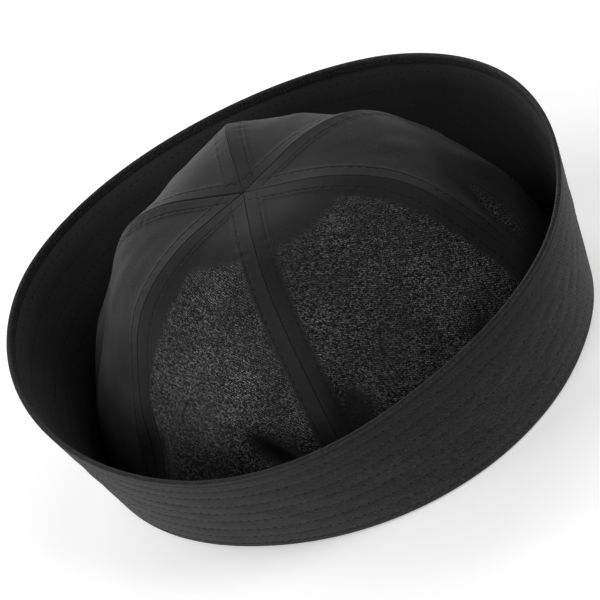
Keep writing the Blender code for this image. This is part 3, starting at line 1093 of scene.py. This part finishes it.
@dataclass
class Brim:
    """The brim: an outer ply that rolls over the rim and under the fold, and a facing inside it."""

    form: CapForm
    finish: ClothFinish
    facing_finish: ClothFinish
    thread: ThreadFinish
    stitching: Stitching
    hem_height: float = 9.0 * MM
    lip_depth: float = 2.2 * MM
    columns: int = 380
    facing_columns: int = 360
    fold_steps: int = 6
    roll_steps: int = 10
    rim_groove: float = 0.09 * MM
    rim_ridge: float = 0.04 * MM
    rim_reach: float = 4.4 * MM
    rim_steps: int = 18
    puff: float = 0.20 * MM
    flat_share: float = 0.22
    full_turn: float = 0.60
    facing_share: float = 0.5
    thread_sink: float = 0.10 * MM
    stitch_pull: float = 0.08 * MM
    pull_reach: float = 0.50 * MM
    # Size, waves round the brim, more waves by row, and shift by row of the uneven stitch pull.
    pull_wave: tuple[float, int, int, float] = (0.35, 61, 3, 2.2)
    # Size in mm, waves round the brim, waves up the wall, and shift.
    ripples: tuple[tuple[float, ...], ...] = ((0.10, 23, 3, 0.0), (0.07, 41, -5, 1.3))
    # Distance below the edge and half width.
    groove_place: tuple[float, float] = (1.35 * MM, 1.25 * MM)
    ridge_place: tuple[float, float] = (3.0 * MM, 0.8 * MM)
    # Painted light on the facing near the rim, and stronger at one side.
    painted_rim_light: float = 14.0 * MM
    # Direction and half width in degrees, and gain.
    painted_light_side: tuple[float, float, float] = (14.0, 42.0, 2.5)
    # Painted shade on the outer wall below the rim, stronger at one side, and how far down it reaches.
    rim_shade: float = 0.6
    shade_side: tuple[float, float, float] = (352.0, 60.0, 0.9)
    shade_start: float = 0.15
    shade_reach: float = 32.0 * MM
    # Painted light on the outer wall near the lower fold, and how far up it reaches.
    painted_foot_light: float = 0.9
    painted_foot_reach: float = 18.0 * MM
    fold_worn: float = 0.3
    rim_worn: float = 0.5
    lip_worn: float = 0.2
    row_shares: tuple[float, ...] = (0.045, 0.150, 0.265, 0.400, 0.525, 0.640, 0.775, 0.890)
    row_shift: float = 0.37
    row_steps_mm: tuple[float, ...] = (-2.2, -1.1, -0.5, -0.2, 0.0, 0.2, 0.5, 1.1, 2.2)
    top_shares: tuple[float, float] = (0.95, 0.975)
    # Shares up the wall between which the relief of the rows begins and ends.
    relief_start: float = 0.03
    outer_end: tuple[float, float] = (0.89, 0.91)
    facing_end: tuple[float, float] = (0.93, 0.97)

    def lean_at(self, crown: Crown, height: float) -> float:
        """Radius share of the crown's lower wall at a height."""
        share = np.linspace(0.6, 1.0, 400)
        radius_share, level = np.moveaxis(crown.meridian(share), -1, 0)
        return float(np.interp(-height, -level, radius_share))

    def wall_stations(self) -> np.ndarray:
        """Shares up the wall at which the grid has a row, close together at each stitch row."""
        shares = [0.0]
        for row in self.row_shares:
            shares += [row + step * MM / self.form.brim_height for step in self.row_steps_mm]
        return np.unique(np.clip(shares + list(self.top_shares), 0.0, 1.0))

    def fullness(self, turn: np.ndarray) -> np.ndarray:
        """How full the padded rows are round the brim, most of all at its left end."""
        return self.flat_share + (1 - self.flat_share) * np.cos(math.pi * (turn - self.full_turn)) ** 6

    def row_relief(self, share: np.ndarray, turn: np.ndarray) -> np.ndarray:
        """Relief of the stitched wall.

        Args:
            share: Shares of the way up the wall.
            turn: Places round the brim, from 0 to 1.

        Returns:
            How far the face stands out, below zero in the stitched valleys.
        """
        height = share * self.form.rim_height(turn)
        rows = np.array((0.0,) + self.row_shares + (1.0,))
        between = np.clip(np.searchsorted(rows, share, side="right") - 1, 0, len(rows) - 2)
        way = (share - rows[between]) / (rows[between + 1] - rows[between])
        full = self.fullness(turn)
        relief = -self.puff / 2 * np.cos(2 * math.pi * way) * full
        size, count, more, shift = self.pull_wave
        for number, row in enumerate(self.row_shares):
            away = height - row * self.form.rim_height(turn)
            wave = 1 + size * np.sin(2 * math.pi * (turn * (count + more * number)) + number * shift)
            relief -= self.stitch_pull * wave * full * np.exp(-(away / self.pull_reach) ** 2)
        ripple = sum(size * np.sin(2 * math.pi * (count * turn + up * share) + shift)
                     for size, count, up, shift in self.ripples) * MM
        return relief + ripple * window(share - 0.5, 0.5)

    def rows_fade(self, share: np.ndarray, end: tuple[float, float]) -> np.ndarray:
        """How much of the rows' relief is left: none at the fold and beyond the end of the rows."""
        return ease(share, 0.0, self.relief_start) * (1 - ease(share, *end))

    def stronger_at(self, turn: np.ndarray, side: tuple[float, float, float]) -> np.ndarray:
        """Factor round the brim: 1, and more at one side, given as direction, half width and gain."""
        direction, half_width, gain = side
        return 1 + gain * window(around(360 * turn - direction), half_width)

    def painted_wall_light_and_shade(self, turn: np.ndarray, height: np.ndarray) -> np.ndarray:
        """Painted light and shade on the wall at a height: painted shade below the rim, painted light near
        the lower fold.
        """
        below = self.form.rim_height(turn) - height
        fade = 1 - ease(below, self.shade_start * self.shade_reach, self.shade_reach)
        pale = self.painted_foot_light * (1 - ease(height, 0.0, self.painted_foot_reach))
        return pale - self.rim_shade * fade * self.stronger_at(turn, self.shade_side)

    def rim_relief(self, below: float) -> float:
        """Relief of the bound rim at a distance below its edge: a groove, then a ridge."""
        (groove_middle, groove_half), (ridge_middle, ridge_half) = self.groove_place, self.ridge_place
        groove = self.rim_groove * window(np.array(below) - groove_middle, groove_half)
        return float(self.rim_ridge * window(np.array(below) - ridge_middle, ridge_half) - groove)

    def outer_grid(self, crown: Crown) -> tuple[np.ndarray, np.ndarray, np.ndarray]:
        """Middle of the outer ply, its relief, and how worn its edges are, with the painted light and
        shade of its wall.

        Args:
            crown: The crown, whose foot the hem follows.

        Returns:
            Points, relief, and worn edges with painted light and shade, rows by columns.
        """
        form = self.form
        turn = np.arange(self.columns) / self.columns
        top = form.rim_height(turn)
        low = form.cloth / 2
        turn_in = form.foot_height - low
        flat = np.zeros_like(turn)
        points, relief, wear_and_painted_light = [], [], []

        def hem(inset: float, height: float) -> None:
            """Add one round of the hem."""
            xy = form.oval(form.head_length, form.head_width, form.head_power, turn, inset)
            lean = self.lean_at(crown, height) if height > form.foot_height else 1.0
            points.append(np.column_stack([xy * lean, flat + height]))
            relief.append(flat)
            wear_and_painted_light.append(flat)

        def wall(inset: float, height: np.ndarray, lift: np.ndarray, worn: float) -> None:
            """Add one round of the wall."""
            points.append(form.wall(turn, inset, height))
            relief.append(lift)
            # Where no worn value is given, the wall gets painted light and shade.
            wear_and_painted_light.append(self.painted_wall_light_and_shade(turn, height) if worn == 0 else flat + worn)

        for share in np.linspace(1.0, 0.25, 5):
            hem(form.hem_inset, form.foot_height + (self.hem_height - form.foot_height) * share)
        bend = np.linspace(0.0, math.pi / 2, self.fold_steps + 1)
        for angle in bend:
            hem(form.hem_inset - turn_in * (1 - math.cos(angle)), low + turn_in * (1 - math.sin(angle)))
        for angle in bend[:-1]:
            wall(form.outer_inset + turn_in * (1 - math.sin(angle)),
                 flat + low + turn_in * (1 - math.cos(angle)), flat, self.fold_worn)
        stations = self.wall_stations()
        facing_top = top - form.roll_reach
        for share in stations[stations < self.outer_end[1]]:
            height = form.foot_height + (facing_top - form.foot_height) * share
            fade = float(self.rows_fade(np.array(share), self.outer_end))
            wall(form.outer_inset, height, fade * self.row_relief(share + flat, turn), 0.0)
        for below in np.linspace(self.rim_reach, form.rim_band, self.rim_steps + 1)[:-1]:
            wall(form.outer_inset, top - form.cloth / 2 - below, flat + self.rim_relief(below), 0.0)
        for angle in np.linspace(0.0, math.pi / 2, self.roll_steps // 2 + 1):
            wall(form.outer_inset + form.roll_radius * (1 - math.cos(angle)),
                 top - form.cloth / 2 - form.rim_band * (1 - math.sin(angle)),
                 flat + self.rim_relief(form.rim_band) * math.cos(angle), self.rim_worn)
        for angle in np.linspace(math.pi / 2, math.pi, self.roll_steps // 2 + 1)[1:]:
            wall(form.outer_inset + form.roll_radius * (1 - math.cos(angle)),
                 facing_top + form.roll_radius * math.sin(angle), flat, math.sin(angle))
        wall(form.lip_inset, facing_top - self.lip_depth * 0.5, flat, self.lip_worn)
        wall(form.lip_inset, facing_top - self.lip_depth, flat, 0.0)
        return np.array(points), np.array(relief), np.array(wear_and_painted_light)

    def outer_ply(self, crown: Crown) -> bpy.types.Object:
        """The outer ply.

        Args:
            crown: The crown, whose foot the hem follows.

        Returns:
            The new piece.
        """
        points, relief, wear_and_painted_light = self.outer_grid(crown)
        points, relief, wear_and_painted_light = points[::-1], relief[::-1], wear_and_painted_light[::-1]
        normals = grid_normals(points, True)
        half = self.form.cloth / 2
        shell = ClothShell("brim_outer_cloth", points + normals * (half + relief)[..., None],
                           points - normals * half, True,
                           {"glint": 0 * wear_and_painted_light, "wear_and_painted_light": wear_and_painted_light})
        return shell.build()

    def facing_ply(self) -> bpy.types.Object:
        """The facing inside the brim, with the stitch rows pressed into its inner face."""
        form = self.form
        turn = np.arange(self.facing_columns) / self.facing_columns
        top = form.rim_height(turn) - form.roll_reach
        shares = self.wall_stations()
        points = np.array([form.wall(turn, form.facing_inset(share),
                                     form.foot_height + (top - form.foot_height) * share)
                           for share in shares])
        normals = grid_normals(points, True)
        grid_share = np.broadcast_to(shares[:, None], points.shape[:2])
        fade = self.facing_share * self.rows_fade(grid_share, self.facing_end)
        relief = fade * self.row_relief(grid_share, np.broadcast_to(turn, points.shape[:2]))
        half = form.cloth / 2
        flat = np.zeros(points.shape[:2])
        # Painted light: the facing's colour is paler near the rim, most of all at one side.
        painted_light = ease((grid_share - 1) * form.brim_height, -self.painted_rim_light, 0.0)
        painted_light = painted_light * self.stronger_at(turn, self.painted_light_side)
        shell = ClothShell("brim_facing_cloth", points + normals * (half + relief)[..., None],
                           points - normals * half, True, {"glint": flat, "wear_and_painted_light": painted_light})
        return shell.build()

    def thread_row(self, row: float, side: Side, number: int) -> ThreadRow:
        """One stitched row round the brim.

        Args:
            row: Share of the way up the wall.
            side: Face of the brim that the thread lies on.
            number: Number of the row, which shifts its stitches.

        Returns:
            The closed row.
        """
        form = self.form
        turn = np.linspace(0.0, 1.0, 2001)
        top = form.rim_height(turn)
        height = form.foot_height + (top - form.roll_reach - form.foot_height) * row
        outside = side is Side.OUTSIDE
        inset = form.outer_inset if outside else form.facing_inset(row)
        points = form.wall(turn, inset, height)
        above = form.wall(turn, inset, height + MM)
        along = np.gradient(points, axis=0)
        outward = unit(np.cross(along, above - points)) * side.value
        share = 1.0 if outside else self.facing_share
        lift = form.cloth / 2 + share * self.row_relief(row + 0 * turn, turn)
        lift = lift - self.thread_sink * (1 - share * self.fullness(turn))
        start = (number * self.row_shift % 1) * self.stitching.length
        return ThreadRow(points + outward * lift[:, None], outward, start)

    def build(self, crown: Crown) -> None:
        """Make both plies and the thread.

        Args:
            crown: The crown, whose foot the hem follows.
        """
        dress(self.outer_ply(crown), self.finish.material(), "brim_drill", "brim_outer")
        dress(self.facing_ply(), self.facing_finish.material(), "facing_drill", "brim_facing")
        thread = self.thread.material()
        for side, slot in ((Side.OUTSIDE, "brim_drill"), (Side.INSIDE, "facing_drill")):
            rows = [self.thread_row(row, side, number) for number, row in enumerate(self.row_shares)]
            dress(self.stitching.sew(f"brim_thread_{side.name.lower()}", rows), thread, slot)


def dress(piece: bpy.types.Object, material: bpy.types.Material, slot: str, *nodes: str) -> None:
    """Give a piece its finish and its place in the cap.

    Args:
        piece: The piece.
        material: Its material.
        slot: Not used.
        nodes: The CAD nodes that it stands for.
    """
    piece.data.materials.append(material)
    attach(piece, BODY)
    if nodes:
        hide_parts(*nodes)
    LOG.info("%s: %d faces, %s", piece.name, len(piece.data.polygons), material.name)


@dataclass
class Studio:
    """Pale floor, soft light and the camera of the photograph."""

    azimuth: float = 40.0
    elevation: float = 35.9
    roll: float = 30.2
    distance: float = 1.2324
    focal_pixels: float = 3329.8
    picture: int = 600
    target_pixel: tuple[float, float] = (311.2, 309.1)
    target_height: float = 0.02985
    sensor: float = 36.0
    backdrop: float = 0.9
    floor_size: float = 12.0
    floor_tone: float = 0.93
    floor_glow: float = 0.324
    floor_roughness: float = 0.9
    floor_gloss: float = 0.1
    box_size: float = 0.6
    box_distance: float = 1.3
    box_aim: float = 0.05
    # Name, direction from +X towards +Y and elevation in degrees, power in watts.
    softboxes: tuple[tuple[str, float, float, float], ...] = (
        ("right_low", 270.0, 18.0, 6.4),
        ("front_high", 0.0, 48.0, 6.3),
        ("back_left_low", 135.0, 18.0, 4.9),
        ("back_high", 180.0, 48.0, 3.4),
        ("left_low", 90.0, 18.0, 3.1),
        ("back_right_low", 225.0, 18.0, 2.9),
        ("back_low", 180.0, 18.0, 2.9),
        ("back_right_high", 225.0, 48.0, 2.5),
        ("left_high", 90.0, 48.0, 1.1))

    def camera_axes(self) -> tuple[Vector, Vector, Vector]:
        """Right, up and back of the camera, rolled as the photograph is."""
        a, e, roll = (math.radians(x) for x in (self.azimuth, self.elevation, self.roll))
        back = Vector((math.sin(a) * math.cos(e), -math.cos(a) * math.cos(e), math.sin(e)))
        level = Vector((math.cos(a), math.sin(a), 0.0))
        upright = back.cross(level)
        right = level * math.cos(roll) - upright * math.sin(roll)
        up = level * math.sin(roll) + upright * math.cos(roll)
        return right, up, back

    def camera(self) -> None:
        """Place the camera at the photograph's angle and frame."""
        right, up, back = self.camera_axes()
        data = bpy.data.cameras.new("camera")
        data.sensor_width = self.sensor
        data.lens = self.sensor * self.focal_pixels / self.picture
        data.shift_x = (self.picture / 2 - self.target_pixel[0]) / self.picture
        data.shift_y = (self.target_pixel[1] - self.picture / 2) / self.picture
        camera = put("camera", data)
        target = Vector((0.0, 0.0, self.target_height))
        turned = Matrix((right, up, back)).transposed().to_4x4()
        camera.matrix_world = Matrix.Translation(target + back * self.distance) @ turned
        bpy.context.scene.camera = camera

    def softbox(self, name: str, azimuth: float, elevation: float, power: float) -> None:
        """Hang a square softbox that faces the cap.

        Args:
            name: Name of the light.
            azimuth: Direction of the light from the cap, in degrees from +X towards +Y.
            elevation: Its height above the floor, in degrees.
            power: Power in watts.
        """
        a, e = math.radians(azimuth), math.radians(elevation)
        towards = Vector((math.cos(a) * math.cos(e), math.sin(a) * math.cos(e), math.sin(e)))
        data = bpy.data.lights.new(name, "AREA")
        data.size = self.box_size
        data.energy = power
        lamp = put(name, data)
        lamp.location = Vector((0.0, 0.0, self.box_aim)) + towards * self.box_distance
        lamp.rotation_mode = "QUATERNION"
        lamp.rotation_quaternion = (-towards).to_track_quat("-Z", "Y")
        lamp.visible_camera = False

    def floor(self) -> None:
        """Lay the pale floor on which the cap stands."""
        mesh = bpy.data.meshes.new("floor")
        half = self.floor_size / 2
        mesh.from_pydata([(-half, -half, 0), (half, -half, 0), (half, half, 0), (-half, half, 0)],
                         [], [(0, 1, 2, 3)])
        desk = NodeDesk("floor_paper")
        desk.shader.inputs["Base Color"].default_value = (self.floor_tone,) * 3 + (1.0,)
        desk.shader.inputs["Emission Color"].default_value = (1.0, 1.0, 1.0, 1.0)
        desk.shader.inputs["Emission Strength"].default_value = self.floor_glow
        desk.shader.inputs["Roughness"].default_value = self.floor_roughness
        desk.shader.inputs["Specular IOR Level"].default_value = self.floor_gloss
        mesh.materials.append(desk.material)
        floor = put("floor", mesh)

    def build(self) -> None:
        """Set up the camera, the floor, the softboxes and a backdrop that only the camera sees."""
        scene = bpy.context.scene
        scene.view_settings.view_transform = "Standard"
        scene.world = bpy.data.worlds.new("studio")
        scene.world.use_nodes = True
        tree = scene.world.node_tree
        backdrop = tree.nodes["Background"]
        backdrop.inputs["Color"].default_value = (self.backdrop,) * 3 + (1.0,)
        seen = tree.nodes.new("ShaderNodeLightPath").outputs["Is Camera Ray"]
        tree.links.new(seen, backdrop.inputs["Strength"])
        self.camera()
        self.floor()
        for box in self.softboxes:
            self.softbox(*box)


def corners(box: tuple[Vector, Vector]) -> list[list[float]]:
    """Lowest and highest corner of a box, as plain lists."""
    return [list(box[0]), list(box[1])]


def main() -> None:
    """Build the cap and its studio."""
    logging.basicConfig(level=logging.INFO, format="%(name)s: %(message)s")
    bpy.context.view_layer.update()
    form = CapForm()
    crown_cloth = ClothFinish("crown_twill", Weave.TWILL, 0.0115, gloss=0.11)
    brim_cloth = ClothFinish("brim_drill", Weave.DRILL, 0.0104, rib=1.05 * MM, rib_contrast=0.55,
                             yarn_contrast=0.45, grain=2.6, relief=0.18 * MM, roughness=0.7, sheen=0.10)
    # The facing's tone is paler than the outer drill's: painted light inside the brim.
    facing_cloth = ClothFinish("facing_drill", Weave.DRILL, 0.018, roughness=0.72, gloss=0.16,
                               sheen=0.08, wear_and_painted_light=0.9)
    stitching = Stitching()
    crown = Crown(form, crown_cloth, ThreadFinish("crown_thread"), stitching)
    brim_thread = ThreadFinish("brim_thread", tone=0.0035, gloss=0.05)
    brim = Brim(form, brim_cloth, facing_cloth, brim_thread, stitching)
    brim.build(crown)
    crown.build()
    Studio().build()


if __name__ == "__main__":
    main()
